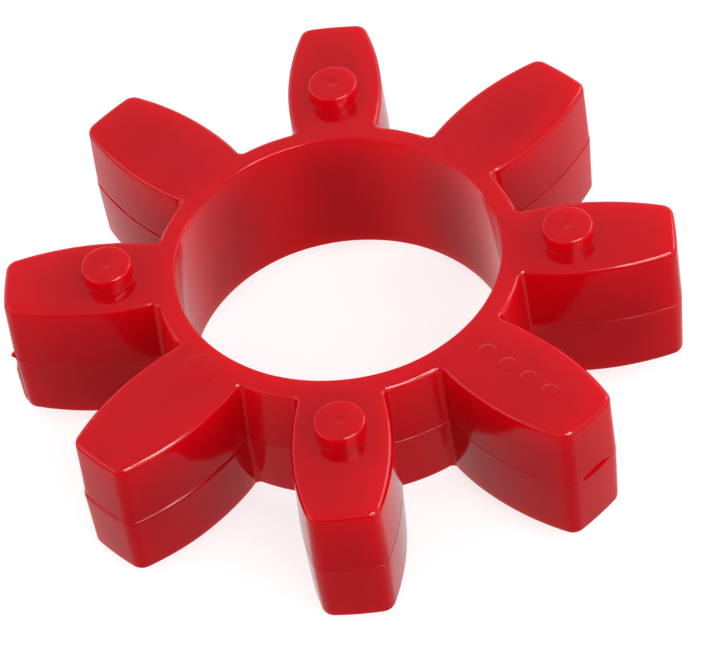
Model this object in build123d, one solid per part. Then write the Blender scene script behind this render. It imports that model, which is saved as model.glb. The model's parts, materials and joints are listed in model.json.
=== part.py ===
"""Elastic spider of a curved-jaw shaft coupling: one moulded polyurethane piece.

A flat ring carries eight barrel-shaped legs. Stand-off pegs rise from every second leg on
the upper face, and from the other four legs on the underside.

Frame: millimetres, Z along the bore. The origin is on the bore axis in the parting plane,
halfway through the width. Leg 0 points along +X.
"""
import os
from math import cos, radians, sin

from build123d import *

# Whole spider
TIP_DIA = 80.0          # across two opposite leg tips, in the parting plane
RING_DIA = 45.0         # outside of the ring between the legs, in the parting plane
BORE_DIA = 38.7
WIDTH = 18.0            # between the two flat faces, pegs not counted
LEG_COUNT = 8

# Leg, in the parting plane
LEG_WIDTH = 12.0        # at its widest
LEG_WIDEST_R = 28.5     # distance of the widest place from the bore axis
FLANK_R = 33.0          # convex curve of each flank
TIP_CORNER_R = 1.8
ROOT_CORNER_R = 0.3

# Moulded walls, which lean in from the parting plane to both faces
LEG_DRAFT_DEG = 1.4
RING_DRAFT_DEG = 3.5
EDGE_R = 0.8            # outer edges of the flat faces
BORE_EDGE_R = 0.25

# Stand-off pegs
PEG_DIA = 6.0
PEG_HEIGHT = 2.1
PEG_CIRCLE_R = 27.2     # distance of the pegs from the bore axis
PEG_EDGE_R = 0.4
DIMPLE_DIA = 1.5        # shallow dish in the middle of each peg
DIMPLE_DEPTH = 0.15

# Small moulding marks on the upper face
GATE_MARK_DIA = 4.2     # flat round gate witness
GATE_MARK_HEIGHT = 0.1
GATE_MARK_R = 22.4      # distance from the bore axis
GATE_MARK_LEG = 5
PIP_DIA = 2.0           # row of plain raised cavity pips
PIP_HEIGHT = 0.1
PIP_COUNT = 4
PIP_FIRST_R = 24.0
PIP_PITCH = 3.2
PIP_LEG = 7

HALF_WIDTH = WIDTH / 2
LEG_PITCH_DEG = 360 / LEG_COUNT
FUSE_DEPTH = 0.5        # how far an added feature is sunk into the body before fusing


def at_leg(leg, radius, z=0.0):
    """Location on the centre line of a leg, at a distance from the bore axis."""
    angle = radians(leg * LEG_PITCH_DEG)
    return Location((radius * cos(angle), radius * sin(angle), z))


def leg_outline():
    """Leg 0 in the parting plane: the common area of two flank circles and the tip circle."""
    flank_centre_y = FLANK_R - LEG_WIDTH / 2
    upper_flank = Pos(LEG_WIDEST_R, -flank_centre_y) * Circle(FLANK_R)
    lower_flank = Pos(LEG_WIDEST_R, flank_centre_y) * Circle(FLANK_R)
    outline = upper_flank & lower_flank & Circle(TIP_DIA / 2)
    tip_corners = outline.vertices().sort_by(Axis.X)[-2:]
    return fillet(tip_corners, TIP_CORNER_R)


def star():
    """Upper half of the ring and its legs, without a bore: drafted, with root fillets."""
    leg = extrude(leg_outline(), amount=HALF_WIDTH, taper=LEG_DRAFT_DEG)
    half = extrude(Circle(RING_DIA / 2), amount=HALF_WIDTH, taper=RING_DRAFT_DEG)
    for i in range(LEG_COUNT):
        half += Rot(0, 0, i * LEG_PITCH_DEG) * leg
    standing = half.edges().filter_by(lambda e: abs((e @ 1 - e @ 0).Z) > HALF_WIDTH - 0.01)
    mid_leg_r = (RING_DIA + TIP_DIA) / 4
    roots = standing.filter_by(lambda e: Vector((e @ 0.5).X, (e @ 0.5).Y).length < mid_leg_r)
    return fillet(roots, ROOT_CORNER_R)


def moulded_half():
    """Half of the body above the parting plane, with rounded rim and bore edge."""
    half = star()
    half = fillet(half.faces().sort_by(Axis.Z)[-1].edges(), EDGE_R)
    half -= Cylinder(BORE_DIA / 2, WIDTH * 2)
    bore_rim = half.edges().filter_by(GeomType.CIRCLE).group_by(Axis.Z)[-1]
    bore_rim = bore_rim.filter_by(lambda e: abs(e.radius - BORE_DIA / 2) < 1e-3)
    return fillet(bore_rim, BORE_EDGE_R)


def peg():
    """One stand-off peg that starts just below z = 0, with a dished free end."""
    blank = Cylinder(
        PEG_DIA / 2, PEG_HEIGHT + FUSE_DEPTH, align=(Align.CENTER, Align.CENTER, Align.MIN)
    )
    blank = Pos(0, 0, -FUSE_DEPTH) * blank
    blank = fillet(blank.edges().group_by(Axis.Z)[-1], PEG_EDGE_R)
    dish_r = ((DIMPLE_DIA / 2) ** 2 + DIMPLE_DEPTH**2) / (2 * DIMPLE_DEPTH)
    return blank - Pos(0, 0, PEG_HEIGHT - DIMPLE_DEPTH + dish_r) * Sphere(dish_r)


def raised_disc(leg, radius, diameter, height):
    """Low flat disc on the upper face, sunk into it for fusing."""
    thickness = FUSE_DEPTH + height
    z = HALF_WIDTH + height - thickness / 2
    return at_leg(leg, radius, z) * Cylinder(diameter / 2, thickness)


def moulding_marks():
    """The gate witness, and the row of plain pips along the middle of one leg."""
    gate = raised_disc(GATE_MARK_LEG, GATE_MARK_R, GATE_MARK_DIA, GATE_MARK_HEIGHT)
    radii = [PIP_FIRST_R + PIP_PITCH * i for i in range(PIP_COUNT)]
    return [gate] + [raised_disc(PIP_LEG, r, PIP_DIA, PIP_HEIGHT) for r in radii]


def spider():
    """The finished one-piece moulding."""
    half = moulded_half()
    body = half + mirror(half, about=Plane.XY)
    for leg in range(0, LEG_COUNT, 2):
        body += at_leg(leg, PEG_CIRCLE_R, HALF_WIDTH) * peg()
    for leg in range(1, LEG_COUNT, 2):
        body += at_leg(leg, PEG_CIRCLE_R, -HALF_WIDTH) * Rot(180, 0, 0) * peg()
    for mark in moulding_marks():
        body += mark
    return body


os.makedirs("parts", exist_ok=True)
export_step(spider(), "parts/spider.step")
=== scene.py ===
"""Looks of the moulded polyurethane coupling spider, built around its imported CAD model.

The CAD solid is replaced by one closed skin with the same sizes, which adds what moulding leaves on
the real piece: a parting line with a little flash and mismatch, a trimmed gate, rolled edges and
faint sink.
"""
import json
from bisect import bisect_left
from collections import namedtuple
from math import atan2, cos, exp, hypot, pi, radians, sin, sqrt, tan

import bmesh
import bpy
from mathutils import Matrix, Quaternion, Vector, kdtree, noise
from mathutils.geometry import delaunay_2d_cdt


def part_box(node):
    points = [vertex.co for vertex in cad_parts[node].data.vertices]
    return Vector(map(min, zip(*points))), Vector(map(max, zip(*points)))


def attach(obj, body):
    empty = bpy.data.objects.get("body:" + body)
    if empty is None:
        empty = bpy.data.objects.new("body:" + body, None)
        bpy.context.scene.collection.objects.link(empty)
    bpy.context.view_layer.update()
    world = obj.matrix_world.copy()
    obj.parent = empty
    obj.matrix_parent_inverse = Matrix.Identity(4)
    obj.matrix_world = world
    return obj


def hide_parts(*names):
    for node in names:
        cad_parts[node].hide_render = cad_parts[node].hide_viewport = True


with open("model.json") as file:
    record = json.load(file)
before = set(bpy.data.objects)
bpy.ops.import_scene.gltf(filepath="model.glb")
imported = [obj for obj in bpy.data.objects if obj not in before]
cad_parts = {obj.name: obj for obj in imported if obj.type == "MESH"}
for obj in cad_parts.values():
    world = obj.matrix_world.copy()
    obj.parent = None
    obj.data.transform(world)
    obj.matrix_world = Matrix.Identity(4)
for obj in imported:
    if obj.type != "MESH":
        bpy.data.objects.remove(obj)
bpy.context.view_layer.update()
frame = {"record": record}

MM = 0.001
ORIGIN = (0.0, 0.0)
scene = bpy.context.scene

# ---------------------------------------------------------------------------------------------
# Sizes in millimetres, read from the frame where it has them
# ---------------------------------------------------------------------------------------------
box_low, box_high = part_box("spider")
mounts = {m["name"]: m for m in frame["record"]["mounts"]}

TIP_R = box_high.x / MM                     # leg tips
PEG_TOP_Z = box_high.z / MM                 # free ends of the upper pegs
BORE_R = mounts["bore"]["dims"]["r_mm"]
HALF_WIDTH = 9.0                            # flat faces, above and below the parting plane
RING_R = 22.5                               # outside of the ring, between the legs
LEG_COUNT = 8                               # leg 0 points along +X, the rest follow anticlockwise
LEG_PITCH = 2 * pi / LEG_COUNT
LEG_WIDTH = 12.0                            # at its widest place, LEG_WIDEST_R from the axis
LEG_WIDEST_R = 28.5
FLANK_R = 33.0                              # curve of a leg's sides
TIP_CORNER_R = 1.8
ROOT_CORNER_R = 0.3
LEG_DRAFT = tan(radians(1.4))               # lean of the side walls
RING_DRAFT = tan(radians(3.5))
EDGE_R = 0.8
BORE_EDGE_R = 0.25
PEG_R = 3.0
PEG_CIRCLE_R = 27.2
PEG_EDGE_R = 0.4
PEG_BASE_FILLET = 0.05
DIMPLE_R, DIMPLE_DEPTH, DIMPLE_RIM = 0.75, 0.15, 0.15
GATE_MARK_R, GATE_MARK_HEIGHT, GATE_MARK_RIM = 2.1, 0.1, 0.7
GATE_MARK_LEG, GATE_MARK_CIRCLE_R = 5, 22.4
PIP_R, PIP_HEIGHT, PIP_RIM, PIP_COUNT = 1.0, 0.1, 0.35, 4
PIP_LEG, PIP_FIRST_R, PIP_PITCH = 7, 24.0, 3.2


# ---------------------------------------------------------------------------------------------
# Camera
# ---------------------------------------------------------------------------------------------
CAMERA_AZIMUTH = 5.62       # degrees, from the -Y side towards +X
CAMERA_ELEVATION = 47.50
CAMERA_ROLL = 8.98
CAMERA_DISTANCE = 437.2 * MM
CAMERA_AIM = Vector((0.99, -3.72, 0.0)) * MM
CAMERA_LENS = 187.1
SENSOR_WIDTH = 36.0
CLIP_START = 10 * MM


def direction(azimuth, elevation):
    """Unit vector towards a point seen at that azimuth (0 is -Y, 90 is +X) and elevation."""
    a, e = radians(azimuth), radians(elevation)
    return Vector((sin(a) * cos(e), -cos(a) * cos(e), sin(e)))


def make_camera():
    data = bpy.data.cameras.new("camera")
    data.lens = CAMERA_LENS
    data.sensor_width = SENSOR_WIDTH
    data.sensor_fit = "HORIZONTAL"
    data.clip_start = CLIP_START
    camera = bpy.data.objects.new("camera", data)
    towards = direction(CAMERA_AZIMUTH, CAMERA_ELEVATION)
    camera.location = CAMERA_AIM + towards * CAMERA_DISTANCE
    level = (-towards).to_track_quat("-Z", "Y")
    camera.rotation_mode = "QUATERNION"
    camera.rotation_quaternion = level @ Quaternion((0, 0, 1), radians(-CAMERA_ROLL))
    scene.collection.objects.link(camera)
    scene.camera = camera


# ---------------------------------------------------------------------------------------------
# Outline of the spider in the parting plane
# ---------------------------------------------------------------------------------------------
Place = namedtuple("Place", "point normal draft leg")
TIP_STEPS = 8
TIP_CORNER_STEPS = 9
FLANK_STEPS = 30
ROOT_STEPS = 6
VALLEY_STEPS = 6


def circles_meet(c1, r1, c2, r2):
    """The crossing of two circles that has the larger y."""
    dx, dy = c2[0] - c1[0], c2[1] - c1[1]
    d = hypot(dx, dy)
    along = (d * d + r1 * r1 - r2 * r2) / (2 * d)
    off = sqrt(r1 * r1 - along * along)
    mx, my = c1[0] + along * dx / d, c1[1] + along * dy / d
    first = (mx - off * dy / d, my + off * dx / d)
    second = (mx + off * dy / d, my - off * dx / d)
    return max(first, second, key=lambda p: p[1])


def arc(centre, radius, start, end, steps, drafts, side=1):
    """Places along an arc of leg 0, its end left out. side is -1 on a concave arc."""
    places = []
    for i in range(steps):
        t = i / steps
        a = start + (end - start) * t
        u = (cos(a), sin(a))
        point = (centre[0] + radius * u[0], centre[1] + radius * u[1])
        draft = drafts[0] + (drafts[1] - drafts[0]) * t
        places.append(Place(point, (side * u[0], side * u[1]), draft, 0))
    return places


def angle_from(centre, point):
    return atan2(point[1] - centre[1], point[0] - centre[0])


def half_leg():
    """Outline from the middle of leg 0's tip round to the middle of the valley beside it."""
    flank = (LEG_WIDEST_R, LEG_WIDTH / 2 - FLANK_R)
    corner = circles_meet(ORIGIN, TIP_R - TIP_CORNER_R, flank, FLANK_R - TIP_CORNER_R)
    root = circles_meet(ORIGIN, RING_R + ROOT_CORNER_R, flank, FLANK_R + ROOT_CORNER_R)
    tip_end = angle_from(ORIGIN, corner)
    flank_start = angle_from(flank, corner)
    flank_end = angle_from(flank, root)
    valley = LEG_PITCH / 2
    ring_start = angle_from(ORIGIN, root)
    root_start, root_end = flank_end + pi, ring_start + pi
    leg, ring, blend = (LEG_DRAFT, LEG_DRAFT), (RING_DRAFT, RING_DRAFT), (LEG_DRAFT, RING_DRAFT)
    places = arc(ORIGIN, TIP_R, 0, tip_end, TIP_STEPS, leg)
    places += arc(corner, TIP_CORNER_R, tip_end, flank_start, TIP_CORNER_STEPS, leg)
    places += arc(flank, FLANK_R, flank_start, flank_end, FLANK_STEPS, leg)
    places += arc(root, ROOT_CORNER_R, root_start, root_end, ROOT_STEPS, blend, side=-1)
    places += arc(ORIGIN, RING_R, ring_start, valley, VALLEY_STEPS, ring)
    u = (cos(valley), sin(valley))
    places.append(Place((RING_R * u[0], RING_R * u[1]), u, RING_DRAFT, 0))
    return places


def turned(vector, angle):
    c, s = cos(angle), sin(angle)
    return (vector[0] * c - vector[1] * s, vector[0] * s + vector[1] * c)


def spider_outline():
    """Closed anticlockwise outline, leg after leg."""
    half = half_leg()
    mirrored = [
        p._replace(point=(p.point[0], -p.point[1]), normal=(p.normal[0], -p.normal[1]))
        for p in half[:0:-1]
    ]
    sector = mirrored[1:] + half
    outline = []
    for leg in range(LEG_COUNT):
        a = leg * LEG_PITCH
        outline += [Place(turned(p.point, a), turned(p.normal, a), p.draft, leg) for p in sector]
    return outline


def leg_frame(place):
    """(distance along its leg's middle line, distance to the left of that line)."""
    return turned(place.point, -place.leg * LEG_PITCH)


# ---------------------------------------------------------------------------------------------
# Mesh under construction: points in millimetres, with what the relief needs to know about each
# ---------------------------------------------------------------------------------------------
class Skin:
    """Collects the points and faces of the moulding."""

    def __init__(self):
        self.points = []
        self.normals = []       # outward in the plane for side wall points, otherwise None
        self.faces = []

    def point(self, x, y, z, normal=None):
        self.points.append((x, y, z))
        self.normals.append(normal)
        return len(self.points) - 1

    def band(self, first, second):
        """Quads between two closed loops of the same length."""
        count = len(first)
        for i in range(count):
            j = (i + 1) % count
            self.faces.append((first[i], first[j], second[j], second[i]))

    def circle(self, centre, radius, z, steps, wall_side=0):
        """Closed loop. wall_side is -1 on a wall that faces the centre, 1 on one that faces out."""
        loop = []
        for i in range(steps):
            u = (cos(2 * pi * i / steps), sin(2 * pi * i / steps))
            normal = (wall_side * u[0], wall_side * u[1]) if wall_side else None
            loop.append(self.point(centre[0] + radius * u[0], centre[1] + radius * u[1], z, normal))
        return loop

    def lathe(self, centre, profile, steps, wall_side=0):
        """Turned surface through (radius, z) pairs. A last radius of 0 closes it with a point."""
        closed = profile[-1][0] == 0
        rings = profile[:-1] if closed else profile
        loops = [self.circle(centre, r, z, steps, wall_side) for r, z in rings]
        for first, second in zip(loops, loops[1:]):
            self.band(first, second)
        if closed:
            apex = self.point(centre[0], centre[1], profile[-1][1])
            last = loops[-1]
            for i in range(steps):
                self.faces.append((last[i], last[(i + 1) % steps], apex))
        return loops[0], loops[-1]


def quarter(steps):
    """Angles from 0 to a right angle."""
    return [pi / 2 * i / steps for i in range(steps + 1)]


def noise_at(x, y, z):
    """Smooth noise from -1 to 1, where a fixed z picks one pattern over x and y."""
    return noise.noise(Vector((x, y, z)))


# ---------------------------------------------------------------------------------------------
# Side wall: rolled edge, drafted wall, parting line with its ledge and flash, the same below
# ---------------------------------------------------------------------------------------------
EDGE_STEPS = 9
WALL_STEPS = 9
LIP_STEPS = 6
PARTING_ZONE_TOP, PARTING_ZONE_BOTTOM = 0.95, -1.3  # heights where the plain walls end
TIP_ZONE_R = TIP_R - 3      # what lies further out along a leg is its tip

Seam = namedtuple("Seam", "groove ledge lip")       # depth, step of the lower half, its rolled rim
FINE_SEAM = Seam(0.07, 0.012, 0.05)
CLEAR_SEAM = Seam(0.10, 0.06, 0.08)
DEEP_SEAM = Seam(0.25, 0.05, 0.08)
STEPPED_SEAM = Seam(0.14, 0.14, 0.34)               # mould halves furthest out of line
SEAM_OF_LEG = {1: CLEAR_SEAM, 3: DEEP_SEAM, 5: STEPPED_SEAM}    # FINE_SEAM on the others
SEAM_BLEND_START, SEAM_BLEND = RING_R - 2, 3        # where a leg takes over from the ring
GROOVE_RISE, GROOVE_FALL = 0.8, 0.35    # heights of its two sides, as shares of its depth
GROOVE_RIM = 0.02           # height left to the groove's upper side where it runs out
GROOVE_SHOULDER = 0.06      # height of the bend between the plain wall and the groove
LEDGE_FALL = 0.12           # height over which a nib on the rim falls back to the ledge

# how much each size swings along the parting line, as a share of it, and the pattern's scale
SLOW_SWING, SLOW_SCALE = 0.7, 0.3       # depth of the groove, in long waves
QUICK_SWING, QUICK_SCALE = 0.4, 1.4     # and in short ones
LEDGE_SWING, LEDGE_SCALE = 0.5, 0.15
TRIM_SWING, TRIM_SCALE = 0.2, 0.9

NIBS = (                    # torn bits of flash: leg, distance left of its middle line, height
    (5, -4.7, 0.32),
    (4, 3.05, 0.42),
)
NIB_WIDTH = 0.4
TRIM_LEG = 7                # a tip whose gate was trimmed off
TRIM_DEPTH, TRIM_HALF_LENGTH = 0.92, 2.75
TRIM_GROOVE = 0.2           # share of the groove's own depth left there
FLAP_LEG, FLAP_ACROSS = 4, 3.05     # film of flash down the lower half of one tip
FLAP_HEIGHT, FLAP_WIDTH = 0.24, 0.16
FLAP_TOP, FLAP_FADE = -1.6, 1.2


def edge_levels(draft):
    """(out, z) round the rolled edge, from the flat face to the top of the wall."""
    wall_top = HALF_WIDTH - EDGE_R
    return [
        (-draft * wall_top - EDGE_R * (1 - cos(a)), HALF_WIDTH - EDGE_R * (1 - sin(a)))
        for a in reversed(quarter(EDGE_STEPS))
    ]


def wall_levels(draft, end):
    """(out, z) down a wall, its top left out, to just before the parting zone."""
    wall_top = HALF_WIDTH - EDGE_R
    heights = [wall_top + (end - wall_top) * i / WALL_STEPS for i in range(1, WALL_STEPS + 1)]
    return [(-draft * z, z) for z in heights]


def seam_at(place):
    """The parting line's sizes: those of the leg, fading to the fine ones along the ring."""
    along, _ = leg_frame(place)
    share = max(0.0, min(1.0, (along - SEAM_BLEND_START) / SEAM_BLEND))
    seam = SEAM_OF_LEG.get(place.leg, FINE_SEAM)
    return Seam(*(fine + (size - fine) * share for fine, size in zip(FINE_SEAM, seam)))


def nib_height(place):
    """How far the torn flash stands out at one place."""
    along, across = leg_frame(place)
    height = 0.0
    for leg, nib_across, nib in NIBS:
        if place.leg == leg and along > LEG_WIDEST_R:
            height += nib * exp(-(((across - nib_across) / NIB_WIDTH) ** 2))
    return height


def groove_depth(place, depth):
    """Depth of the parting groove, which a trimmed gate deepens to a lens-shaped cut."""
    x, y = place.point
    slow = noise_at(x * SLOW_SCALE, y * SLOW_SCALE, 3.7)
    quick = noise_at(x * QUICK_SCALE, y * QUICK_SCALE, 9.1)
    depth *= max(0.0, 1 + SLOW_SWING * slow + QUICK_SWING * quick)
    along, across = leg_frame(place)
    if place.leg == TRIM_LEG and along > TIP_ZONE_R:
        lens = max(0.0, 1 - (across / TRIM_HALF_LENGTH) ** 2)
        swing = 1 + TRIM_SWING * noise_at(across * TRIM_SCALE, 4.2, 0.3)
        depth = TRIM_GROOVE * depth + TRIM_DEPTH * lens * swing
    return depth


def parting_levels(place):
    """(out, z) down the groove, out along its lower side and over its rim, and the ledge's size."""
    x, y = place.point
    seam = seam_at(place)
    swing = 1 + LEDGE_SWING * noise_at(x * LEDGE_SCALE, y * LEDGE_SCALE, 1.3)
    ledge = seam.ledge * swing
    rim = ledge + nib_height(place)
    groove = groove_depth(place, seam.groove)
    top, bottom = GROOVE_RIM + GROOVE_RISE * groove, -GROOVE_FALL * groove
    levels = [(0.0, top + GROOVE_SHOULDER), (-0.02 * groove, top)]
    levels += [(-0.5 * groove, top / 2), (-groove, 0.0)]
    reach = groove + rim - seam.lip
    levels += [(-groove + reach * t, bottom * t) for t in (1 / 3, 2 / 3, 1)]
    levels += [
        (rim - seam.lip * (1 - sin(a)), bottom - seam.lip * (1 - cos(a)))
        for a in quarter(LIP_STEPS)[1:]
    ]
    foot = bottom - seam.lip
    levels += [(rim, foot - LEDGE_FALL / 3), (ledge, foot - LEDGE_FALL)]
    levels += [(ledge, PARTING_ZONE_BOTTOM + above) for above in (0.3, 0.15)]
    return [(out - place.draft * abs(z), z) for out, z in levels], ledge


def flap_height(place, z):
    """How far the film of flash stands out from the lower half at one place."""
    along, across = leg_frame(place)
    if place.leg != FLAP_LEG or along < TIP_ZONE_R:
        return 0.0
    fade = min(1.0, (FLAP_TOP - z) / FLAP_FADE, (z + HALF_WIDTH) / FLAP_FADE)
    return max(0.0, fade) * FLAP_HEIGHT * exp(-(((across - FLAP_ACROSS) / FLAP_WIDTH) ** 2))


def column(place):
    """(out, z) of every level at one place on the outline, from the upper face to the lower."""
    parting, ledge = parting_levels(place)
    levels = edge_levels(place.draft) + wall_levels(place.draft, PARTING_ZONE_TOP)
    levels += parting
    lower = edge_levels(place.draft) + wall_levels(place.draft, -PARTING_ZONE_BOTTOM)
    return levels + [(out + ledge + flap_height(place, -z), -z) for out, z in reversed(lower)]


def side_wall(skin, outline):
    """Builds the outer wall and returns its loops on the upper and lower flat faces."""
    columns = [column(place) for place in outline]
    loops = []
    for level in range(len(columns[0])):
        loop = []
        for place, levels in zip(outline, columns):
            out, z = levels[level]
            x = place.point[0] + place.normal[0] * out
            y = place.point[1] + place.normal[1] * out
            loop.append(skin.point(x, y, z, place.normal))
        loops.append(loop)
    for first, second in zip(loops, loops[1:]):
        skin.band(first, second)
    return loops[0], loops[-1]


# ---------------------------------------------------------------------------------------------
# Round features, each as a turned profile of (radius, z)
# ---------------------------------------------------------------------------------------------
BORE_STEPS = 288            # points round each feature
PEG_STEPS = 72
GATE_MARK_STEPS = 48
PIP_STEPS = 32
BORE_EDGE_STEPS = 5         # points along each profile
BORE_WALL_STEPS = 16
PEG_FILLET_STEPS = 3
PEG_EDGE_STEPS = 6
DIMPLE_STEPS = 8
DISC_RIM_STEPS = 8
FLAT_STEPS = 4


def bore_profile():
    rim = [
        (BORE_R + BORE_EDGE_R * (1 - sin(a)), HALF_WIDTH - BORE_EDGE_R * (1 - cos(a)))
        for a in quarter(BORE_EDGE_STEPS)
    ]
    straight = HALF_WIDTH - BORE_EDGE_R
    wall = [
        (BORE_R, straight * (1 - i / (BORE_WALL_STEPS / 2))) for i in range(1, BORE_WALL_STEPS)
    ]
    return rim + wall + mirrored_profile(reversed(rim))


def peg_profile(base_z, height):
    """From the fillet on the face, up the side, over the rolled edge and into the dimple."""
    top = base_z + height
    profile = [
        (
            PEG_R + PEG_BASE_FILLET * (1 - sin(a)),
            base_z + PEG_BASE_FILLET * (1 - cos(a)),
        )
        for a in quarter(PEG_FILLET_STEPS)
    ]
    low, high = base_z + PEG_BASE_FILLET, top - PEG_EDGE_R
    profile += [(PEG_R, low + (high - low) * i / FLAT_STEPS) for i in range(1, FLAT_STEPS)]
    profile += [
        (PEG_R - PEG_EDGE_R * (1 - cos(a)), top - PEG_EDGE_R * (1 - sin(a)))
        for a in quarter(PEG_EDGE_STEPS)
    ]
    lip = DIMPLE_R + DIMPLE_RIM
    flat_edge = PEG_R - PEG_EDGE_R
    for i in range(1, FLAT_STEPS + 1):
        profile.append((flat_edge + (lip - flat_edge) * i / FLAT_STEPS, top))
    for i in range(1, DIMPLE_STEPS + 1):
        t = i / DIMPLE_STEPS
        profile.append((lip * (1 - t), top - DIMPLE_DEPTH * sin(t * pi / 2) ** 2))
    return profile


def disc_profile(face_z, radius, height, rim):
    """Low disc with a soft rim, from its foot on the face to its middle."""
    outer = radius + rim / 2
    inner = outer - rim
    profile = []
    for i in range(DISC_RIM_STEPS + 1):
        t = i / DISC_RIM_STEPS
        profile.append((outer - rim * t, face_z + height * (0.5 - 0.5 * cos(pi * t))))
    for i in range(1, FLAT_STEPS + 1):
        profile.append((inner * (1 - i / FLAT_STEPS), face_z + height))
    return profile


def mirrored_profile(profile):
    """The same profile on the other side of the parting plane."""
    return [(r, -z) for r, z in profile]


def on_leg(leg, radius):
    """Point on the middle line of a leg."""
    a = leg * LEG_PITCH
    return (radius * cos(a), radius * sin(a))


# ---------------------------------------------------------------------------------------------
# Flat faces
# ---------------------------------------------------------------------------------------------
FACE_GRID = 0.85            # spacing of the points inside a face, mm
FACE_MARGIN = 0.5           # how far they stay from its loops
FILL_HULL = 0               # delaunay_2d_cdt's output type: triangles out to the convex hull
MERGE_DISTANCE = 1e-5


def turns_left(a, b, c):
    return (b[0] - a[0]) * (c[1] - a[1]) - (b[1] - a[1]) * (c[0] - a[0]) > 0


class Edge:
    """A face's outer loop: which side of it a point is on, and how far away."""

    def __init__(self, skin, loop):
        self.corners = sorted((skin.points[i][:2] for i in loop), key=lambda p: atan2(p[1], p[0]))
        self.angles = [atan2(y, x) for x, y in self.corners]
        self.tree = kdtree.KDTree(len(loop))
        for k, i in enumerate(loop):
            self.tree.insert((skin.points[i][0], skin.points[i][1], 0), k)
        self.tree.balance()

    def holds(self, x, y):
        """True inside the loop, to within a hair at the roots of the legs."""
        after = bisect_left(self.angles, atan2(y, x))
        return turns_left(
            self.corners[after - 1], self.corners[after % len(self.corners)], (x, y)
        )

    def distance(self, x, y):
        return self.tree.find((x, y, 0))[2]


def grid_points(edge, holes):
    """Staggered points inside the face, clear of its edge and its round holes."""
    row_height = FACE_GRID * sqrt(3) / 2
    count = int(TIP_R / row_height) + 1
    points = []
    for row in range(-count, count + 1):
        y = row * row_height
        for step in range(-count, count + 1):
            x = (step + 0.5 * (row % 2)) * FACE_GRID
            if not edge.holds(x, y) or edge.distance(x, y) < FACE_MARGIN:
                continue
            if all(hypot(x - cx, y - cy) > r + FACE_MARGIN for cx, cy, r in holes):
                points.append((x, y))
    return points


def in_face(skin, corners, place_on):
    """False for a triangle in a hole or past the outer loop, whose corners are all on one loop."""
    places = [place_on.get(i) for i in corners]
    if None in places or len({number for number, _ in places}) > 1:
        return True
    if places[0][0] > 0:
        return False
    # the outer loop runs anticlockwise, so a triangle outside it runs clockwise in loop order
    a, b, c = (skin.points[i] for _, i in sorted(zip(places, corners)))
    return turns_left(a, b, c)


def fill_face(skin, z, outer, hole_loops):
    """Triangulates a flat face from its outer loop to its round features, and returns its Edge."""
    edge = Edge(skin, outer)
    holes = []
    for loop in hole_loops:
        cx = sum(skin.points[i][0] for i in loop) / len(loop)
        cy = sum(skin.points[i][1] for i in loop) / len(loop)
        radius = hypot(skin.points[loop[0]][0] - cx, skin.points[loop[0]][1] - cy)
        holes.append((cx, cy, radius))
    indices = []
    constraints = []
    place_on = {}
    for number, loop in enumerate([outer] + hole_loops):
        start = len(indices)
        indices += loop
        place_on.update((i, (number, k)) for k, i in enumerate(loop))
        constraints += [(start + k, start + (k + 1) % len(loop)) for k in range(len(loop))]
    indices += [skin.point(x, y, z) for x, y in grid_points(edge, holes)]
    flat = [Vector(skin.points[i][:2]) for i in indices]
    _, _, triangles, sources, _, _ = delaunay_2d_cdt(
        flat, constraints, [], FILL_HULL, MERGE_DISTANCE
    )
    originals = [ids[0] for ids in sources]
    for triangle in triangles:
        corners = [indices[originals[v]] for v in triangle]
        if in_face(skin, corners, place_on):
            skin.faces.append(tuple(corners))
    return edge


# ---------------------------------------------------------------------------------------------
# Relief that a real moulding has all over: rolled shoulders, sink, slightly wavy walls
# ---------------------------------------------------------------------------------------------
SHOULDER_DROP = 0.09        # how far a face falls away beside its outer edge, mm
SHOULDER_WIDTH = 1.5
SINK_DEPTH = 0.07           # thickest part of each leg
SINK_RADIUS = 5.0
FACE_WAVE, FACE_WAVE_SCALE = 0.018, 0.16
WALL_WAVE, WALL_WAVE_SCALE, WALL_WAVE_SCALE_UP = 0.022, 0.23, 0.17
RELIEF_REACH = 2.5          # how far down the walls the relief of a face fades out
OUTER_WALL_R = RING_R - 1   # wall points further out than this are on the outer wall


def face_relief(x, y, edge_distance, side):
    """How far a flat face dips at (x, y)."""
    dip = SHOULDER_DROP * exp(-((edge_distance / SHOULDER_WIDTH) ** 2))
    for leg in range(LEG_COUNT):
        cx, cy = on_leg(leg, LEG_WIDEST_R)
        dip += SINK_DEPTH * exp(-((x - cx) ** 2 + (y - cy) ** 2) / SINK_RADIUS ** 2)
    wave = noise_at(x * FACE_WAVE_SCALE, y * FACE_WAVE_SCALE, 5.0 * side)
    return dip + FACE_WAVE * wave


def relieved(skin, upper_edge, lower_edge):
    """The points of the skin with the relief applied, in metres."""
    moved = []
    for (x, y, z), normal in zip(skin.points, skin.normals):
        weight = (abs(z) - (HALF_WIDTH - RELIEF_REACH)) / RELIEF_REACH
        weight = max(0.0, min(1.0, weight))
        weight = weight * weight * (3 - 2 * weight)
        side = 1 if z > 0 else -1
        if weight > 0:
            edge = upper_edge if side > 0 else lower_edge
            outside = normal and hypot(x, y) > OUTER_WALL_R
            distance = 0.0 if outside else edge.distance(x, y)
            z -= side * weight * face_relief(x, y, distance, side)
        if normal:
            wave = WALL_WAVE * noise_at(
                x * WALL_WAVE_SCALE, y * WALL_WAVE_SCALE, z * WALL_WAVE_SCALE_UP
            )
            x += normal[0] * wave
            y += normal[1] * wave
        moved.append((x * MM, y * MM, z * MM))
    return moved


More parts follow.
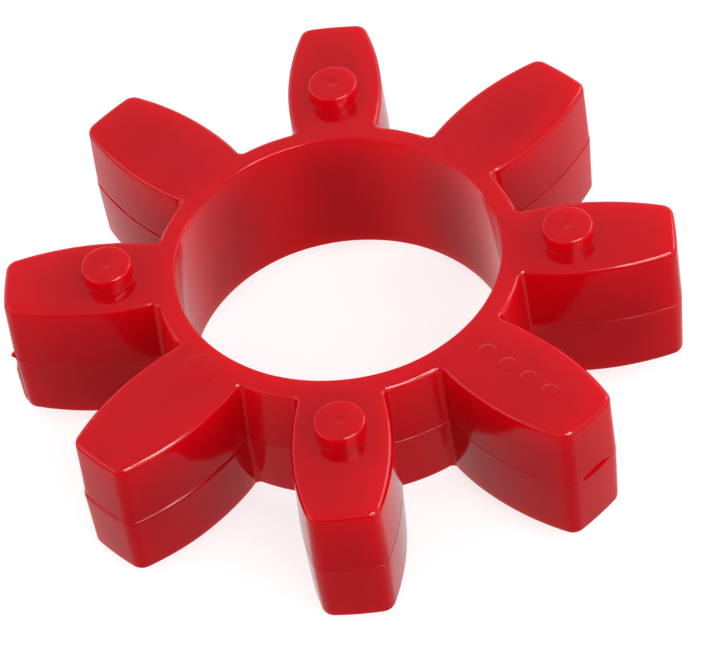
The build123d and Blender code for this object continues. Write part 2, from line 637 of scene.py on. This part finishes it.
def make_spider():
    """One closed mesh, in place of the CAD solid."""
    skin = Skin()
    upper_loop, lower_loop = side_wall(skin, spider_outline())
    bore_top, bore_bottom = skin.lathe(ORIGIN, bore_profile(), BORE_STEPS, wall_side=-1)
    upper_holes, lower_holes = [bore_top], [bore_bottom]
    upper_peg = peg_profile(HALF_WIDTH, PEG_TOP_Z - HALF_WIDTH)
    for leg in range(LEG_COUNT):
        centre = on_leg(leg, PEG_CIRCLE_R)
        if leg % 2 == 0:
            upper_holes.append(skin.lathe(centre, upper_peg, PEG_STEPS)[0])
        else:
            lower_holes.append(skin.lathe(centre, mirrored_profile(upper_peg), PEG_STEPS)[0])
    gate = disc_profile(HALF_WIDTH, GATE_MARK_R, GATE_MARK_HEIGHT, GATE_MARK_RIM)
    gate_centre = on_leg(GATE_MARK_LEG, GATE_MARK_CIRCLE_R)
    upper_holes.append(skin.lathe(gate_centre, gate, GATE_MARK_STEPS)[0])
    pip = disc_profile(HALF_WIDTH, PIP_R, PIP_HEIGHT, PIP_RIM)
    for i in range(PIP_COUNT):
        centre = on_leg(PIP_LEG, PIP_FIRST_R + PIP_PITCH * i)
        upper_holes.append(skin.lathe(centre, pip, PIP_STEPS)[0])
    upper_edge = fill_face(skin, HALF_WIDTH, upper_loop, upper_holes)
    lower_edge = fill_face(skin, -HALF_WIDTH, lower_loop, lower_holes)

    mesh = bpy.data.meshes.new("spider_skin")
    mesh.from_pydata(relieved(skin, upper_edge, lower_edge), [], skin.faces)
    surface = bmesh.new()
    surface.from_mesh(mesh)
    bmesh.ops.recalc_face_normals(surface, faces=surface.faces)
    for face in surface.faces:
        face.smooth = True
    surface.to_mesh(mesh)
    surface.free()
    spider = bpy.data.objects.new("spider_skin", mesh)
    scene.collection.objects.link(spider)
    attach(spider, "root")
    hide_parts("spider")
    return spider


# ---------------------------------------------------------------------------------------------
# Material of the moulding
# ---------------------------------------------------------------------------------------------
DEEPER_RED = (0.54, 0.0008, 0.0095, 1)
BRIGHTER_RED = (0.62, 0.0014, 0.0145, 1)
SCATTER_DEPTH = 16 * MM
SCATTER_RADIUS = (1.0, 0.05, 0.04)      # red travels much further than green and blue
GLOSSIEST, DULLEST = 0.09, 0.15         # roughness
PEEL_DEPTH, PEEL_STRENGTH = 0.02 * MM, 0.35


class Nodes:
    """Short names for building a node tree."""

    def __init__(self, tree):
        self.tree = tree

    def add(self, kind, **settings):
        node = self.tree.nodes.new(kind)
        for key, value in settings.items():
            setattr(node, key, value)
        return node

    def join(self, source, target):
        self.tree.links.new(source, target)

    def noise(self, coordinates, scale, detail, roughness):
        node = self.add("ShaderNodeTexNoise")
        node.inputs["Scale"].default_value = scale
        node.inputs["Detail"].default_value = detail
        node.inputs["Roughness"].default_value = roughness
        self.join(coordinates, node.inputs["Vector"])
        return node.outputs["Fac"]

    def remap(self, value, low, high, to_low, to_high):
        node = self.add("ShaderNodeMapRange")
        node.clamp = True
        limits = {"From Min": low, "From Max": high, "To Min": to_low, "To Max": to_high}
        for key, number in limits.items():
            node.inputs[key].default_value = number
        self.join(value, node.inputs["Value"])
        return node.outputs["Result"]

    def ramp(self, value, stops):
        """Colour ramp through (position, colour) stops."""
        node = self.add("ShaderNodeValToRGB")
        elements = node.color_ramp.elements
        while len(elements) < len(stops):
            elements.new(0.5)
        for element, (position, colour) in zip(elements, stops):
            element.position = position
            element.color = colour
        self.join(value, node.inputs["Fac"])
        return node.outputs["Color"]


def principled(name):
    """New material with one Principled shader. Returns it, its Nodes and the shader."""
    material = bpy.data.materials.new(name)
    material.use_nodes = True
    material.node_tree.nodes.clear()
    n = Nodes(material.node_tree)
    output = n.add("ShaderNodeOutputMaterial")
    shader = n.add("ShaderNodeBsdfPrincipled")
    n.join(shader.outputs["BSDF"], output.inputs["Surface"])
    return material, n, shader


def polyurethane():
    """Translucent red: light passes through the thin ring, less through the thick legs."""
    material, n, shader = principled("red_polyurethane")
    place = n.add("ShaderNodeTexCoord").outputs["Object"]

    clouds = n.noise(place, scale=70.0, detail=3.0, roughness=0.55)
    red = n.ramp(clouds, [(0.30, DEEPER_RED), (0.70, BRIGHTER_RED)])
    n.join(red, shader.inputs["Base Color"])

    handling = n.noise(place, scale=260.0, detail=4.0, roughness=0.6)
    n.join(n.remap(handling, 0.35, 0.75, GLOSSIEST, DULLEST), shader.inputs["Roughness"])

    orange_peel = n.noise(place, scale=900.0, detail=2.0, roughness=0.5)
    bump = n.add("ShaderNodeBump")
    bump.inputs["Strength"].default_value = PEEL_STRENGTH
    bump.inputs["Distance"].default_value = PEEL_DEPTH
    n.join(orange_peel, bump.inputs["Height"])
    n.join(bump.outputs["Normal"], shader.inputs["Normal"])

    shader.inputs["IOR"].default_value = 1.50
    shader.inputs["Subsurface Weight"].default_value = 1.0
    shader.inputs["Subsurface Radius"].default_value = SCATTER_RADIUS
    shader.inputs["Subsurface Scale"].default_value = SCATTER_DEPTH
    return material


# ---------------------------------------------------------------------------------------------
# Floor and light
# ---------------------------------------------------------------------------------------------
FLOOR_HALF = 2.0            # metres
FLOOR_GREY = (0.5, 0.5, 0.5, 1)
FLOOR_GLOW = 0.62           # light of its own, which keeps the floor white all over
STUDIO_STRENGTH = 2.0
MIX_FIRST, MIX_SECOND, MIX_RESULT = 6, 7, 2     # colour sockets of a Mix node


def make_floor():
    material, _, shader = principled("white_table")
    shader.inputs["Base Color"].default_value = FLOOR_GREY
    shader.inputs["Roughness"].default_value = 0.8
    shader.inputs["Specular IOR Level"].default_value = 0.0
    shader.inputs["Emission Color"].default_value = (1, 1, 1, 1)
    shader.inputs["Emission Strength"].default_value = FLOOR_GLOW
    z = box_low.z
    corners = [
        (-FLOOR_HALF, -FLOOR_HALF, z),
        (FLOOR_HALF, -FLOOR_HALF, z),
        (FLOOR_HALF, FLOOR_HALF, z),
        (-FLOOR_HALF, FLOOR_HALF, z),
    ]
    mesh = bpy.data.meshes.new("floor")
    mesh.from_pydata(corners, [], [(0, 1, 2, 3)])
    mesh.materials.append(material)
    floor = bpy.data.objects.new("floor", mesh)
    scene.collection.objects.link(floor)
    floor.visible_glossy = False            # the object sees the dimmer studio below it instead
    floor.visible_diffuse = False


def softbox(name, azimuth, elevation, width, height, radiance):
    """Area light one metre from the object: its size in metres and how bright its face is."""
    data = bpy.data.lights.new(name, "AREA")
    data.shape = "RECTANGLE"
    data.size = width
    data.size_y = height
    data.energy = radiance * pi * width * height
    light = bpy.data.objects.new(name, data)
    towards = direction(azimuth, elevation)
    light.location = towards
    light.rotation_mode = "QUATERNION"
    light.rotation_quaternion = (-towards).to_track_quat("-Z", "Y")
    scene.collection.objects.link(light)
    return light


def make_world():
    """White studio: bright towards the horizon except in front, dimmer overhead and below."""
    world = bpy.data.worlds.new("studio")
    world.use_nodes = True
    background = world.node_tree.nodes["Background"]
    n = Nodes(world.node_tree)
    toward = n.add("ShaderNodeSeparateXYZ")
    n.join(n.add("ShaderNodeTexCoord").outputs["Generated"], toward.inputs["Vector"])

    def greys(axis, stops):
        """Grey ramp over one component of the direction, which runs from -1 to 1."""
        share = n.remap(toward.outputs[axis], -1.0, 1.0, 0.0, 1.0)
        return n.ramp(share, [((at + 1) / 2, (grey, grey, grey, 1)) for at, grey in stops])

    def combine(how, first, second):
        node = n.add("ShaderNodeMix", data_type="RGBA", blend_type=how)
        node.inputs["Factor"].default_value = 1.0
        n.join(first, node.inputs[MIX_FIRST])
        n.join(second, node.inputs[MIX_SECOND])
        return node.outputs[MIX_RESULT]

    lower = greys("Z", [(-0.02, 1.0), (0.0, 0.0)])
    darker_in_front = greys("Y", [(-0.70, 0.12), (0.0, 0.23), (0.6, 0.32)])
    below = combine("MULTIPLY", lower, darker_in_front)
    horizon = greys("Z", [(-0.01, 0.0), (0.0, 0.50), (0.26, 0.45), (0.40, 0.0)])
    dark_in_front = greys("Y", [(-0.92, 0.0), (-0.75, 1.0), (1.0, 1.0)])
    ring = combine("MULTIPLY", horizon, dark_in_front)
    above = greys("Z", [(0.26, 0.0), (0.40, 0.25), (1.0, 0.22)])
    sky = combine("ADD", combine("ADD", below, ring), above)
    n.join(sky, background.inputs["Color"])
    background.inputs["Strength"].default_value = STUDIO_STRENGTH
    scene.world = world


def make_light():
    make_world()
    # name, azimuth, elevation, width, height, radiance
    softbox("key", 40, 40, 0.77, 0.85, 1.45)
    softbox("rim", 121, 25, 0.52, 0.40, 2.0)
    softbox("left", 282, 22, 0.80, 0.60, 0.55)
    fills = [
        softbox("right", 97, 15, 0.50, 0.30, 1.8),
        softbox("front_left", 332, 32, 0.60, 0.35, 0.8),
    ]
    streaks = [
        softbox("glint", 55, 46, 0.20, 0.44, 10.0),
        softbox("small_glint", 29, 46, 0.30, 0.26, 10.0),
    ]
    for light in fills:
        light.visible_glossy = False        # these draw no streaks along the edges
    for light in streaks:
        light.visible_diffuse = False       # and these draw only streaks


scene.view_settings.view_transform = "Standard"
scene.view_settings.look = "Medium High Contrast"
make_camera()
spider = make_spider()
spider.data.materials.append(polyurethane())
make_floor()
make_light()
